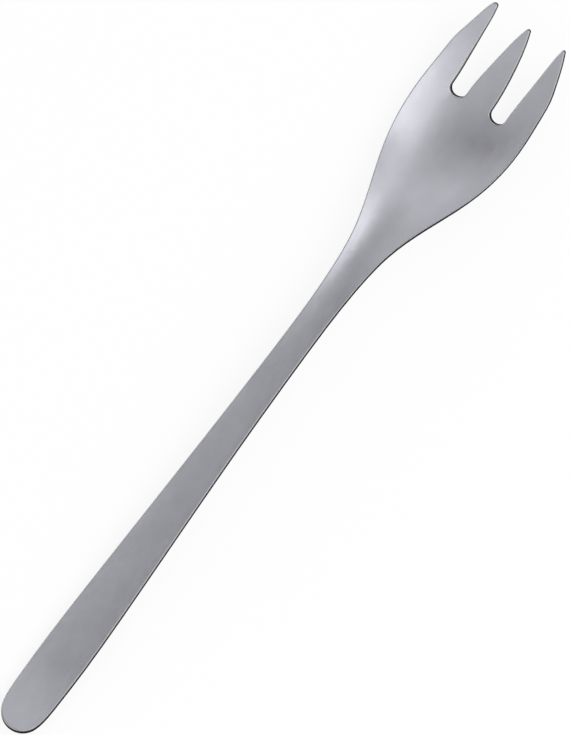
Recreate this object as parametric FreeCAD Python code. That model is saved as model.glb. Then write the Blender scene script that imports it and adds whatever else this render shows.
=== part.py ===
"""A three-tined dessert fork, stamped and pressed from one strip of steel.

The fork lies on its back as on a table: the handle's end and the belly of the head
touch the ground, the neck and the tips stand clear of it. Millimetres, +Z up, tips
towards +Y, origin on the ground under the middle of the fork.
"""
import FreeCAD, Part
import math
import os
from FreeCAD import Vector

# Overall length, from the handle's end to the outer tips
overall_length = 170.0

# Rounded end of the handle
handle_end_radius = 4.2
handle_end_sweep = 70.0

# Widths of the handle, at distances from its end
heel_width = 9.34
heel_at = 8.6
handle_width = 9.6
handle_widest_at = 16.5
palm_width = 8.94
palm_at = 33.0
grip_width = 7.68
grip_at = 51.5

# Width of the shaft, midway between the grip and the waist
shaft_width = 6.46

# Widths of the waist, neck and head, at distances back from the tips
waist_width = 5.74
waist_back = 79.0
throat_width = 6.6
throat_back = 60.1
neck_width = 8.5
neck_back = 52.8
shoulder_width = 14.25
shoulder_back = 43.3
cheek_width = 21.1
cheek_back = 33.0
head_width = 24.05
head_widest_back = 21.2
tine_root_width = 23.3
tine_root_back = 13.5
mid_tine_width = 22.2
mid_tine_back = 8.8

# Outer tines: the gap between their tips, and how far out from the middle they reach
# a little below the tips, the left tine being ground fuller and blunter
tip_gap = 15.3
upper_tine_back = 4.6
left_tine_reach = 10.0
left_tip_radius = 0.65
right_tine_reach = 9.78
right_tip_radius = 0.35

# Middle tine, a little shorter than the others
middle_tip_setback = 0.5
middle_tip_radius = 0.45

# Angles from the fork's length at which the edges run into the tips
tip_outer_angle = 22.0
tip_inner_angle = 9.0
middle_tip_angle = 17.0

# Two slots with round bases, the left one cut a little further out, and the edges of
# the tines halfway along them
slot_length = 18.9
slot_base_radius = 1.75
left_slot_across = 4.85
right_slot_across = 4.45
left_mid_slot_across = 7.0
right_mid_slot_across = 6.8
middle_tine_width = 4.2

# Heights of the upper face along the middle of the fork
end_height = 2.4
grip_height = 4.75
shaft_height = 6.0
waist_height = 6.6
crest_height = 6.8
crest_back = 62.0
shoulder_height = 5.0
belly_back = 28.0
slot_height = 3.0
mid_tine_height = 6.6
tip_height = 10.4

# Rise of the edges above the middle, which hollows the handle slightly and dishes
# the head
handle_rise = 0.15
neck_rise = 1.1
head_rise = 2.2
tip_rise = 0.5

# Thickness of the steel and the width of its bevelled edges
handle_thickness = 2.4
head_thickness = 2.0
tip_thickness = 1.35
edge_bevel = 0.25

# Lean of the tines' cut edges, which stand about square to their slope
tine_lean = 24.0

# Room by which the rough plate stands beyond the outline, the fineness of the facets
# on which the finished fork is measured, and how long the stretches of its edges are
plate_margin = 4.0
fine_facets = 0.01
points_per_stretch = 4

# Distances from the handle's end that several features share
waist_at = overall_length - waist_back
shaft_at = (grip_at + waist_at) / 2
throat_at = overall_length - throat_back
neck_at = overall_length - neck_back
shoulder_at = overall_length - shoulder_back
cheek_at = overall_length - cheek_back
head_widest_at = overall_length - head_widest_back
tine_root_at = overall_length - tine_root_back
mid_tine_at = overall_length - mid_tine_back
upper_tine_at = overall_length - upper_tine_back
crest_at = overall_length - crest_back
belly_at = overall_length - belly_back
slot_base_at = overall_length - slot_length


def graph(stations):
    """Smooth curve that reads a value at a distance along the fork."""
    curve = Part.BSplineCurve()
    points = [Vector(along, value, 0) for along, value in stations]
    curve.interpolate(Points=points, Parameters=[along for along, value in stations])
    first = stations[0][0]
    last = stations[-1][0]

    def value(along):
        """Inside the stations the curve itself, outside them its straight run-out."""
        inside = min(max(along, first), last)
        point = curve.value(inside)
        direction = curve.tangent(inside)[0]
        return point.y + (along - inside) * direction.y / direction.x

    return value


def ease(along, start, end):
    """0 before start, 1 after end, with a smooth rise between."""
    t = min(max((along - start) / (end - start), 0.0), 1.0)
    return t * t * (3.0 - 2.0 * t)


# Widths of the outline at distances from the handle's end
side_stations = [
    (heel_at, heel_width),
    (handle_widest_at, handle_width),
    (palm_at, palm_width),
    (grip_at, grip_width),
    (shaft_at, shaft_width),
    (waist_at, waist_width),
    (throat_at, throat_width),
    (neck_at, neck_width),
    (shoulder_at, shoulder_width),
    (cheek_at, cheek_width),
    (head_widest_at, head_width),
    (tine_root_at, tine_root_width),
    (mid_tine_at, mid_tine_width),
]

width = graph(side_stations)

# Height of the upper face along the middle of the fork
spine = graph([
    (0.0, end_height),
    (handle_widest_at, end_height + 0.1),
    (grip_at, grip_height),
    (shaft_at, shaft_height),
    (waist_at, waist_height),
    (crest_at, crest_height),
    (shoulder_at, shoulder_height),
    (belly_at, head_thickness),
    (slot_base_at, slot_height),
    (mid_tine_at, mid_tine_height),
    (overall_length, tip_height),
])


def rise(along):
    """Rise of the edges above the middle: slight on the handle, deepest at the belly."""
    neck = (neck_rise - handle_rise) * ease(along, waist_at, cheek_at)
    head = (head_rise - neck_rise) * ease(along, throat_at, belly_at)
    tips = (tip_rise - head_rise) * ease(along, belly_at, overall_length)
    return handle_rise + neck + head + tips


def thickness(along):
    """Thickness of the steel: rolled thinner in the head and again in the tines."""
    head = (head_thickness - handle_thickness) * ease(along, waist_at, shoulder_at)
    tips = (tip_thickness - head_thickness) * ease(along, slot_base_at, overall_length)
    return handle_thickness + head + tips


def top_height(across, along):
    """Height of the upper face: the spine, with the dish's curve across it."""
    half = width(min(along, head_widest_at)) / 2
    return spine(along) + rise(along) * (across / half) ** 2


def bottom_height(across, along):
    """Height of the underside, one thickness below the face and square to its slope."""
    step = 0.1
    slope = (spine(along + step) - spine(along - step)) / (2 * step)
    return top_height(across, along) - thickness(along) * math.sqrt(1 + slope * slope)


def pressed_face(height, lift):
    """Face over the whole rough plate at the height that a function gives, and a lift."""
    reach = head_width / 2 + plate_margin
    columns = [reach * i / 6 for i in range(-6, 7)]
    rows = [-plate_margin + (overall_length + 3 * plate_margin) * j / 90 for j in range(91)]
    surface = Part.BSplineSurface()
    surface.interpolate([[Vector(x, y, height(x, y) + lift) for y in rows] for x in columns])
    return surface.toShape()


def pressed_plate(trim):
    """Solid between the upper face and the underside, each moved inwards by a trim."""
    upper = pressed_face(top_height, -trim)
    lower = pressed_face(bottom_height, trim)
    sides = [Part.makeRuledSurface(a, b) for a, b in zip(upper.Edges, lower.Edges)]
    return Part.makeSolid(Part.makeShell([upper, lower] + sides))


def heading(degrees):
    """Direction at an angle from the fork's length, towards its right side."""
    angle = math.radians(degrees)
    return Vector(math.sin(angle), math.cos(angle), 0)


def curve_edges(points, start, end, inset):
    """Smooth line through points, with its two end directions, moved left by an inset.

    It comes in stretches of a few points each, so that the strips which run from one
    such line to another stay even.
    """
    curve = Part.BSplineCurve()
    curve.interpolate(Points=points, InitialTangent=start, FinalTangent=end)
    moved = []
    for knot in curve.getKnots():
        along = curve.tangent(knot)[0]
        moved.append(curve.value(knot) + Vector(-along.y, along.x, 0) * inset)
    curve.interpolate(Points=moved, InitialTangent=start, FinalTangent=end)
    knots = curve.getKnots()
    cuts = knots[:-1:points_per_stretch] + knots[-1:]
    return [curve.trim(first, last).toShape() for first, last in zip(cuts, cuts[1:])]


def arc_edge(centre, radius, first, last):
    """Arc about a centre between two headings."""
    points = [centre + heading(first + (last - first) * share) * radius for share in (0, 0.5, 1)]
    return Part.Arc(*points).toShape()


def cut_point(across, along, level):
    """Where the cut edge that meets the upper face at a place crosses a level.

    The edge stands upright from the handle to the shoulder. From there to the slots
    it comes to lean back towards the handle, square to the slope of the tines.
    """
    lean = math.radians(tine_lean) * ease(along, shoulder_at, slot_base_at)
    drop = top_height(across, along) - level
    return Vector(across, along + drop * math.tan(lean), level)


def tip_centre(level, across, setback, radius):
    """Centre of a tip's rounding, whose lower rim leans out to the full length."""
    overhang = (tip_thickness - edge_bevel) * math.tan(math.radians(tine_lean))
    return cut_point(across, overall_length - overhang - setback - radius, level)


def half_outline(tine_reach, tip_radius, slot_across, mid_slot_across, level, inset):
    """Edges of the right half, from the handle's end to the middle tip."""
    end = Vector(0, handle_end_radius, level)
    tip = tip_centre(level, tip_gap / 2 + tip_radius, 0, tip_radius)
    slot = cut_point(slot_across, slot_base_at + slot_base_radius, level)
    middle_tip = tip_centre(level, 0, middle_tip_setback, middle_tip_radius)

    outside = [end + heading(180 - handle_end_sweep) * handle_end_radius]
    outside += [cut_point(wide / 2, along, level) for along, wide in side_stations]
    outside += [cut_point(tine_reach, upper_tine_at, level)]
    outside += [tip + heading(90 - tip_outer_angle) * tip_radius]
    slot_outside = [
        tip + heading(tip_inner_angle - 90) * tip_radius,
        cut_point(mid_slot_across, mid_tine_at, level),
        slot + heading(90) * slot_base_radius,
    ]
    slot_inside = [
        slot + heading(-90) * slot_base_radius,
        cut_point(middle_tine_width / 2, mid_tine_at, level),
        middle_tip + heading(90 - middle_tip_angle) * middle_tip_radius,
    ]
    return [
        *curve_edges(outside, heading(90 - handle_end_sweep), heading(-tip_outer_angle), inset),
        arc_edge(tip, tip_radius - inset, 90 - tip_outer_angle, tip_inner_angle - 90),
        *curve_edges(slot_outside, heading(180 + tip_inner_angle), heading(180), inset),
        arc_edge(slot, slot_base_radius + inset, 90, 270),
        *curve_edges(slot_inside, heading(0), heading(-middle_tip_angle), inset),
    ]


def outline(level, inset):
    """Closed outline of the cut edges at a level, moved inwards by an inset."""
    end = Vector(0, handle_end_radius, level)
    end_angle = 180 - handle_end_sweep
    middle_tip = tip_centre(level, 0, middle_tip_setback, middle_tip_radius)
    point_angle = 90 - middle_tip_angle
    left_side = (left_tine_reach, left_tip_radius, left_slot_across, left_mid_slot_across)
    right_side = (right_tine_reach, right_tip_radius, right_slot_across, right_mid_slot_across)
    edges = [
        arc_edge(end, handle_end_radius - inset, end_angle, 360 - end_angle),
        arc_edge(middle_tip, middle_tip_radius - inset, -point_angle, point_angle),
    ]
    edges += half_outline(*right_side, level, inset)
    left_edges = half_outline(*left_side, level, inset)
    edges += [edge.mirror(Vector(), Vector(1, 0, 0)) for edge in left_edges]
    return Part.Wire(Part.__sortEdges__(edges))


def outline_column(inset):
    """Tall solid with the fork's outline, leaning where the tines lean."""
    low = outline(-plate_margin, inset)
    high = outline(tip_height + plate_margin, inset)
    walls = [Part.makeRuledSurface(a, b) for a, b in zip(low.Edges, high.Edges)]
    shell = Part.makeShell(walls + [Part.Face(low), Part.Face(high)])
    shell.sewShape()
    return Part.makeSolid(shell)


def nearest_edge(edge, others):
    """The edge whose two ends lie nearest to the ends of a given one."""
    def distance(other):
        ends = [vertex.Point for vertex in other.Vertexes]
        gaps = [min(vertex.Point.distanceToPoint(end) for end in ends) for vertex in edge.Vertexes]
        return sum(gaps)
    return min(others, key=distance)


def bevel_strips(rim, broad_face):
    """Sloping strips from the rim of the core out to the rim of a broad face."""
    return [Part.makeRuledSurface(edge, nearest_edge(edge, broad_face.Edges)) for edge in rim]


def make_fork():
    """The whole fork: pressed plate cut to outline, with a bevel round both its rims.

    The core carries the cut walls. It is a bevel thinner on each face than the fork,
    and the two broad faces are a bevel smaller than the core all round.
    """
    core = pressed_plate(edge_bevel).common(outline_column(0)).Solids[0]
    by_area = sorted(core.Faces, key=lambda face: face.Area)
    walls = by_area[:-2]
    core_lower, core_upper = sorted(by_area[-2:], key=lambda face: face.CenterOfMass.z)

    inner_column = outline_column(edge_bevel)
    upper = pressed_face(top_height, 0).common(inner_column).Faces[0]
    lower = pressed_face(bottom_height, 0).common(inner_column).Faces[0]
    strips = bevel_strips(core_upper.Edges, upper) + bevel_strips(core_lower.Edges, lower)

    shell = Part.makeShell(walls + strips + [upper, lower])
    shell.sewShape()
    return Part.makeSolid(shell)


def placed_on_ground(shape):
    """Shape moved so that its lowest point and the middle of its length lie at zero."""
    corners = shape.copy().tessellate(fine_facets)[0]
    lowest = min(corner.z for corner in corners)
    middle = (min(corner.y for corner in corners) + max(corner.y for corner in corners)) / 2
    shape.translate(Vector(0, -middle, -lowest))
    return shape


os.makedirs("parts", exist_ok=True)
placed_on_ground(make_fork()).exportStep("parts/fork.step")
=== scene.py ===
"""Satin steel dessert fork lying on white, seen from above as in the photograph."""

import math

import bmesh
import bpy
from mathutils import Matrix, Vector
from mathutils.kdtree import KDTree


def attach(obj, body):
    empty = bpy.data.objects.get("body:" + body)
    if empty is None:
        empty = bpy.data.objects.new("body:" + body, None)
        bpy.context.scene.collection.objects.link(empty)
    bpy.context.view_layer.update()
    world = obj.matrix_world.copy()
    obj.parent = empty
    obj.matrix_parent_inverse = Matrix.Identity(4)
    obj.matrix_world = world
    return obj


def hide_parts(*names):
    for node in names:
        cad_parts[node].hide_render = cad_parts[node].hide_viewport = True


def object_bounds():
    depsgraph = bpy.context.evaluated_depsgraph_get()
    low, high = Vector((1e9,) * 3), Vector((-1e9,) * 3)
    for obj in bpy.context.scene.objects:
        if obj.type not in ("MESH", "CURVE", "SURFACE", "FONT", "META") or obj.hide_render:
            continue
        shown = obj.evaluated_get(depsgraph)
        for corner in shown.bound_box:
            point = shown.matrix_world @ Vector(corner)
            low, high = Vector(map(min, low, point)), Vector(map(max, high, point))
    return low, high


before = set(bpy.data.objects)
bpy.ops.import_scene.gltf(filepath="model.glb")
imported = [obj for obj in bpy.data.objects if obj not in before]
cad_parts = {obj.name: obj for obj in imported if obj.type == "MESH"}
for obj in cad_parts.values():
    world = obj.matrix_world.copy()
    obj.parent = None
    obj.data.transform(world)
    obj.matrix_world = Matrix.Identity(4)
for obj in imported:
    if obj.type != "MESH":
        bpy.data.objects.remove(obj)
cad_low, cad_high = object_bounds()

MM = 0.001

# Size of the picture, how large the fork appears in it, where the middle of its resting
# place lies from the picture's left and upper edge, and how far the tips are turned
# clockwise from straight up
PICTURE_WIDTH = 569
PICTURE_HEIGHT = 735
PIXELS_PER_MM = 5.185
FORK_X = 271.5
FORK_Y = 383.2
FORK_HEADING = math.radians(36.25)

# The camera stands far off, so that near and far parts of the fork have one scale
CAMERA_ELEVATION = math.radians(76.5)
CAMERA_DISTANCE = 4.5
NEAREST_SEEN = 0.01
FARTHEST_SEEN = 20

# Regions of the fork's skin meet more sharply than the break angle. The largest two are
# its upper face and its underside. Of the others, the bevels lie flatter than the walls.
BREAK_ANGLE = math.radians(20)
BROAD_REGIONS = 2
BEVEL_FLATNESS = 0.5
WELD = 1e-7

# Order of the finishes in the fork's material slots. The walls' finish is painted dark as
# painted shade.
FACE, BEVEL, PAINTED_SHADE_WALL = range(3)

# The part of its range that noise mostly fills
NOISE_LOW = 0.3
NOISE_HIGH = 0.7

# Colours of the steel, and the length of the handle's end that has worn dull
SATIN_DARK = (0.45, 0.453, 0.486)
SATIN_LIGHT = (0.55, 0.553, 0.594)
POLISHED = (0.42, 0.42, 0.44)
# The walls' colours are painted shade: darker than the steel, they stand in for the dark
# surroundings that the walls mirror, varied at random between the two
WALL_PAINTED_SHADE_DARK = (0.12, 0.12, 0.124)
WALL_PAINTED_SHADE_LIGHT = (0.18, 0.18, 0.185)
WORN_LENGTH = 18 * MM
WORN_ROUGHER = 0.2

# In the solid, the outer edges of the outer tines swell slightly near their tips. They
# are moved onto one smooth curve between two places along the fork, and the left tine's
# is moved a little further in. Nothing moves that lies less far out than TINE_INSIDE.
TINE_LEAN = math.radians(24)
TINE_INSIDE = 6.9 * MM
TRUED_FROM = 81.4 * MM
TRUED_TO = 87.8 * MM
LEFT_NARROWER = 0.12 * MM

# How steeply the curve closes in where it starts, and where it ends on either side
START_SLOPE = 0.25
LEFT, RIGHT = -1, 1
END_SLOPE = {LEFT: 0.28, RIGHT: 0.36}

# A wall belongs to an outer edge where its normal points outwards by more than this
OUTWARDS = 0.5

# The white table, and how much of it is seen as pure white whatever light falls on it
TABLE_SIZE = 4
TABLE_WHITE = (0.95, 0.95, 0.95)
PURE_WHITE_SHARE = 0.85

CARD_BLACK = (0.01, 0.01, 0.01)

# Light from the world: its strength towards the walls and straight overhead, and the
# height, as a share of straight up, above which it fades from one to the other
WORLD_COLOUR = (0.98, 0.98, 1)
WALL_LIGHT = 0.74
OVERHEAD_LIGHT = 0.475
FADES_ABOVE = 0.75


def camera():
    """Camera far above the fork, leaning a little towards the handle's side."""
    right = Vector((math.cos(FORK_HEADING), math.sin(FORK_HEADING), 0))
    level_up = Vector((-math.sin(FORK_HEADING), math.cos(FORK_HEADING), 0))
    back = Vector((0, 0, math.sin(CAMERA_ELEVATION))) - level_up * math.cos(CAMERA_ELEVATION)
    up = back.cross(right)
    metres_per_pixel = MM / PIXELS_PER_MM
    across = (PICTURE_WIDTH / 2 - FORK_X) * metres_per_pixel
    upward = (FORK_Y - PICTURE_HEIGHT / 2) * metres_per_pixel
    target = right * across + up * upward
    data = bpy.data.cameras.new("camera")
    data.lens = data.sensor_width * CAMERA_DISTANCE / (PICTURE_HEIGHT * metres_per_pixel)
    data.clip_start = NEAREST_SEEN
    data.clip_end = FARTHEST_SEEN
    obj = bpy.data.objects.new("camera", data)
    bpy.context.scene.collection.objects.link(obj)
    turn = Matrix((right, up, back)).transposed().to_4x4()
    obj.matrix_world = Matrix.Translation(target + back * CAMERA_DISTANCE) @ turn
    bpy.context.scene.camera = obj


def material(name):
    """New material with its shader, its nodes and their links."""
    made = bpy.data.materials.new(name)
    made.use_nodes = True
    nodes = made.node_tree.nodes
    return made, nodes["Principled BSDF"], nodes, made.node_tree.links


def coordinate(nodes, links, space, axis):
    """One axis of a space's coordinates."""
    coordinates = nodes.new("ShaderNodeTexCoord")
    split = nodes.new("ShaderNodeSeparateXYZ")
    links.new(coordinates.outputs[space], split.inputs["Vector"])
    return split.outputs[axis]


def grain(nodes, links, across_mm, along_mm, detail):
    """Noise whose spots have a size across and along the fork."""
    coordinates = nodes.new("ShaderNodeTexCoord")
    stretch = nodes.new("ShaderNodeMapping")
    stretch.inputs["Scale"].default_value = (
        1 / (across_mm * MM),
        1 / (along_mm * MM),
        1 / (across_mm * MM),
    )
    noise = nodes.new("ShaderNodeTexNoise")
    noise.inputs["Scale"].default_value = 1.0
    noise.inputs["Detail"].default_value = detail
    links.new(coordinates.outputs["Object"], stretch.inputs["Vector"])
    links.new(stretch.outputs["Vector"], noise.inputs["Vector"])
    return noise.outputs["Fac"]


def ranged(nodes, links, value, start, end, low, high, interpolation="LINEAR"):
    """Runs from low to high while the value runs from start to end."""
    made = nodes.new("ShaderNodeMapRange")
    made.interpolation_type = interpolation
    made.inputs["From Min"].default_value = start
    made.inputs["From Max"].default_value = end
    made.inputs["To Min"].default_value = low
    made.inputs["To Max"].default_value = high
    links.new(value, made.inputs["Value"])
    return made.outputs["Result"]


def combined(nodes, links, operation, first, second):
    """One value made of two by an operation such as ADD."""
    made = nodes.new("ShaderNodeMath")
    made.operation = operation
    links.new(first, made.inputs[0])
    links.new(second, made.inputs[1])
    return made.outputs[0]


def tinted(nodes, links, factor, dark, light):
    """Colour between a dark and a light one."""
    mix = nodes.new("ShaderNodeMix")
    mix.data_type = "RGBA"
    colours = [socket for socket in mix.inputs if socket.type == "RGBA"]
    colours[0].default_value = (*dark, 1)
    colours[1].default_value = (*light, 1)
    links.new(factor, mix.inputs["Factor"])
    return [socket for socket in mix.outputs if socket.type == "RGBA"][0]


def satin_steel():
    """Fine lengthwise grain under a soft, slightly cloudy shine, duller at the handle's end."""
    made, shader, nodes, links = material("satin_steel")
    shader.inputs["Metallic"].default_value = 1.0
    clouds = grain(nodes, links, across_mm=4.0, along_mm=7.0, detail=2)
    lines = grain(nodes, links, across_mm=0.12, along_mm=4.0, detail=3)
    links.new(tinted(nodes, links, clouds, SATIN_DARK, SATIN_LIGHT), shader.inputs["Base Color"])
    satin = ranged(nodes, links, lines, NOISE_LOW, NOISE_HIGH, low=0.32, high=0.42)
    place = coordinate(nodes, links, "Object", "Y")
    end = cad_low[1]
    worn = ranged(nodes, links, place, end + WORN_LENGTH, end, 0.0, WORN_ROUGHER, "SMOOTHSTEP")
    links.new(combined(nodes, links, "ADD", satin, worn), shader.inputs["Roughness"])
    bump = nodes.new("ShaderNodeBump")
    bump.inputs["Strength"].default_value = 0.12
    bump.inputs["Distance"].default_value = 0.01 * MM
    links.new(lines, bump.inputs["Height"])
    links.new(bump.outputs["Normal"], shader.inputs["Normal"])
    return made


def polished_steel():
    """Bevels, buffed smoother than the faces."""
    made, shader, nodes, links = material("polished_bevel")
    shader.inputs["Metallic"].default_value = 1.0
    shader.inputs["Base Color"].default_value = (*POLISHED, 1)
    clouds = grain(nodes, links, across_mm=1.5, along_mm=6.0, detail=2)
    roughness = ranged(nodes, links, clouds, NOISE_LOW, NOISE_HIGH, low=0.14, high=0.22)
    links.new(roughness, shader.inputs["Roughness"])
    return made


def wall_steel_painted_shade():
    """Walls coloured dark as painted shade for the dark surroundings they mirror: darker than
    the faces, and darker still at a slant.
    """
    made, shader, nodes, links = material("wall_painted_shade")
    shader.inputs["Metallic"].default_value = 1.0
    painted_shade_mottle = grain(nodes, links, across_mm=0.5, along_mm=0.5, detail=3)
    links.new(tinted(nodes, links, painted_shade_mottle, WALL_PAINTED_SHADE_DARK, WALL_PAINTED_SHADE_LIGHT), shader.inputs["Base Color"])
    shader.inputs["Roughness"].default_value = 0.35
    shader.inputs["Specular Tint"].default_value = (0, 0, 0, 1)
    return made


def skin_regions(mesh):
    """Flatness and face numbers of the regions that join smoothly, the largest first."""
    shape = bmesh.new()
    shape.from_mesh(mesh)
    bmesh.ops.remove_doubles(shape, verts=shape.verts, dist=WELD)
    regions = []
    for start in shape.faces:
        if start.tag:
            continue
        start.tag = True
        region = [start]
        for face in region:
            smooth = [edge for edge in face.edges if edge.calc_face_angle() < BREAK_ANGLE]
            for neighbour in [other for edge in smooth for other in edge.link_faces]:
                if not neighbour.tag:
                    neighbour.tag = True
                    region.append(neighbour)
        area = sum(face.calc_area() for face in region)
        flatness = sum(abs(face.normal.z) * face.calc_area() for face in region) / area
        regions.append((area, flatness, [face.index for face in region]))
    shape.free()
    return [(flatness, faces) for _, flatness, faces in sorted(regions, reverse=True)]


def along(point):
    """Place along the fork, the same from rim to rim of a wall that leans with the tines."""
    return point.y + point.z * math.tan(TINE_LEAN)


def edge_points(mesh, side):
    """Outer edge of an outer tine: its places along the fork and its distances outwards."""
    points = set()
    for polygon in mesh.polygons:
        if polygon.material_index == PAINTED_SHADE_WALL and polygon.normal.x * side > OUTWARDS:
            for index in polygon.vertices:
                point = mesh.vertices[index].co
                if point.x * side > TINE_INSIDE:
                    points.add((along(point), point.x * side))
    return sorted(points)


def between(points, place):
    """Distance outwards at a place, from the two nearest points of the edge."""
    for first, second in zip(points, points[1:]):
        if first[0] <= place <= second[0]:
            share = (place - first[0]) / max(second[0] - first[0], WELD)
            return first[1] + share * (second[1] - first[1])
    return points[-1][1]


def cubic(t, start, end, start_slope, end_slope):
    """Point of the cubic curve that runs from start to end while t runs from 0 to 1."""
    ends = (2 * t**3 - 3 * t**2 + 1) * start + (3 * t**2 - 2 * t**3) * end
    return ends + (t**3 - 2 * t**2 + t) * start_slope + (t**3 - t**2) * end_slope


def true_tine(mesh, side, narrower):
    """Moves the outer tine's outer edge onto one smooth curve."""
    points = edge_points(mesh, side)
    length = TRUED_TO - TRUED_FROM
    start = between(points, TRUED_FROM)
    end = between(points, TRUED_TO) - narrower
    for vertex in mesh.vertices:
        place = along(vertex.co)
        outwards = vertex.co.x * side
        if place <= TRUED_FROM or outwards <= TINE_INSIDE:
            continue
        edge = between(points, place)
        shift = -narrower
        if place < TRUED_TO:
            t = (place - TRUED_FROM) / length
            shift = cubic(t, start, end, -length * START_SLOPE, -length * END_SLOPE[side]) - edge
        share = min((outwards - TINE_INSIDE) / (edge - TINE_INSIDE), 1)
        vertex.co.x += side * shift * share


def round_bevels(mesh, normals):
    """Shades the walls smoothly, and each bevel as a rounding between face and wall."""
    sums = {}
    for polygon in mesh.polygons:
        if polygon.material_index == PAINTED_SHADE_WALL:
            for index in polygon.vertices:
                sums[index] = sums.get(index, Vector()) + polygon.normal * polygon.area
    beside = KDTree(len(mesh.loops))
    for polygon in mesh.polygons:
        if polygon.material_index == PAINTED_SHADE_WALL:
            for corner in polygon.loop_indices:
                normals[corner] = sums[mesh.loops[corner].vertex_index].normalized()
        if polygon.material_index != BEVEL:
            for corner in polygon.loop_indices:
                beside.insert(mesh.vertices[mesh.loops[corner].vertex_index].co, corner)
    beside.balance()
    for polygon in mesh.polygons:
        if polygon.material_index == BEVEL:
            for corner in polygon.loop_indices:
                point = mesh.vertices[mesh.loops[corner].vertex_index].co
                _, nearest, _ = beside.find(point)
                normals[corner] = normals[nearest]
    mesh.normals_split_custom_set(normals)


def fork():
    """The fork's own mesh with its three finishes: broad faces, bevels and walls."""
    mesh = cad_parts["fork"].data.copy()
    mesh.materials.clear()
    for finish in (satin_steel(), polished_steel(), wall_steel_painted_shade()):
        mesh.materials.append(finish)
    for number, (flatness, faces) in enumerate(skin_regions(mesh)):
        if number < BROAD_REGIONS:
            finish = FACE
        elif flatness > BEVEL_FLATNESS:
            finish = BEVEL
        else:
            # walls: coloured dark as painted shade for the dark surroundings they mirror
            finish = PAINTED_SHADE_WALL
        for face in faces:
            mesh.polygons[face].material_index = finish
    normals = [corner.vector.copy() for corner in mesh.corner_normals]
    true_tine(mesh, LEFT, LEFT_NARROWER)
    true_tine(mesh, RIGHT, 0)
    mesh.update()
    round_bevels(mesh, normals)
    piece = bpy.data.objects.new("finished_fork", mesh)
    bpy.context.scene.collection.objects.link(piece)
    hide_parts("fork")
    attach(piece, "root")


def white():
    """White table, seen a little brighter than it is lit, so that its shadow is faint."""
    made, shader, nodes, links = material("white_table")
    shader.inputs["Base Color"].default_value = (*TABLE_WHITE, 1)
    shader.inputs["Roughness"].default_value = 0.6
    shader.inputs["Specular IOR Level"].default_value = 0.0
    glow = nodes.new("ShaderNodeEmission")
    rays = nodes.new("ShaderNodeLightPath").outputs
    seen = combined(nodes, links, "MAXIMUM", rays["Is Camera Ray"], rays["Is Glossy Ray"])
    seen = combined(nodes, links, "MAXIMUM", seen, rays["Is Transmission Ray"])
    share = nodes.new("ShaderNodeMath")
    share.operation = "MULTIPLY"
    share.inputs[1].default_value = PURE_WHITE_SHARE
    links.new(seen, share.inputs[0])
    mix = nodes.new("ShaderNodeMixShader")
    links.new(share.outputs[0], mix.inputs["Fac"])
    links.new(shader.outputs[0], mix.inputs[1])
    links.new(glow.outputs[0], mix.inputs[2])
    links.new(mix.outputs[0], nodes["Material Output"].inputs["Surface"])
    return made


def table():
    bpy.ops.mesh.primitive_plane_add(size=TABLE_SIZE)
    floor = bpy.context.object
    floor.name = "table"
    floor.data.materials.append(white())


def facing(obj, azimuth, elevation, distance):
    """Puts an object where the fork sees it in a direction, turned to face the fork.

    Azimuth runs from the fork's right side towards its tips. The object's own X stands
    upright and its Y lies level.
    """
    turn = Matrix.Rotation(math.radians(azimuth), 4, "Z")
    turn = turn @ Matrix.Rotation(math.radians(90 - elevation), 4, "Y")
    obj.matrix_world = turn @ Matrix.Translation((0, 0, distance))


def softbox(name, azimuth, elevation, distance, width, height, radiance):
    """Soft lamp that faces the fork."""
    data = bpy.data.lights.new(name, "AREA")
    data.shape = "RECTANGLE"
    data.size = height
    data.size_y = width
    data.energy = radiance * math.pi * width * height
    obj = bpy.data.objects.new(name, data)
    bpy.context.scene.collection.objects.link(obj)
    facing(obj, azimuth, elevation, distance)


def black():
    made, shader, _, _ = material("black_card")
    shader.inputs["Base Color"].default_value = (*CARD_BLACK, 1)
    shader.inputs["Roughness"].default_value = 1.0
    return made


def flag(name, finish, azimuth, elevation, distance, width, height):
    """Card that only the steel mirrors."""
    bpy.ops.mesh.primitive_plane_add(size=1)
    card = bpy.context.object
    card.name = name
    card.data.materials.append(finish)
    card.data.transform(Matrix.Diagonal((height, width, 1, 1)))
    facing(card, azimuth, elevation, distance)
    card.visible_camera = False
    card.visible_diffuse = False
    card.visible_shadow = False


def lights():
    """A key lamp high on the right, three lamps low around the fork, and two black cards.

    The low card darkens the rim on the fork's right, the high one a patch of the dish.
    """
    softbox("key", -5, 57, distance=1.1, width=1.9, height=0.8, radiance=1.24)
    softbox("back", 100, 30, distance=1.2, width=0.9, height=0.3, radiance=1.3)
    softbox("front", 262, 11, distance=1.2, width=0.9, height=0.3, radiance=1.7)
    softbox("left", 180, 11, distance=1.2, width=1.2, height=0.3, radiance=2.5)
    finish = black()
    flag("low_flag", finish, 12, 3.5, distance=0.7, width=1.1, height=0.13)
    flag("high_flag", finish, 174, 62, distance=1.0, width=0.3, height=0.28)


def studio():
    """World like a light tent: a little darker overhead than towards its walls."""
    world = bpy.data.worlds.new("studio")
    world.use_nodes = True
    nodes = world.node_tree.nodes
    links = world.node_tree.links
    height = coordinate(nodes, links, "Generated", "Z")
    level = ranged(
        nodes, links, height, FADES_ABOVE, 1.0, WALL_LIGHT, OVERHEAD_LIGHT, "SMOOTHSTEP"
    )
    links.new(level, nodes["Background"].inputs["Strength"])
    nodes["Background"].inputs["Color"].default_value = (*WORLD_COLOUR, 1)
    bpy.context.scene.world = world


camera()
fork()
table()
lights()
studio()
bpy.context.scene.view_settings.view_transform = "Standard"
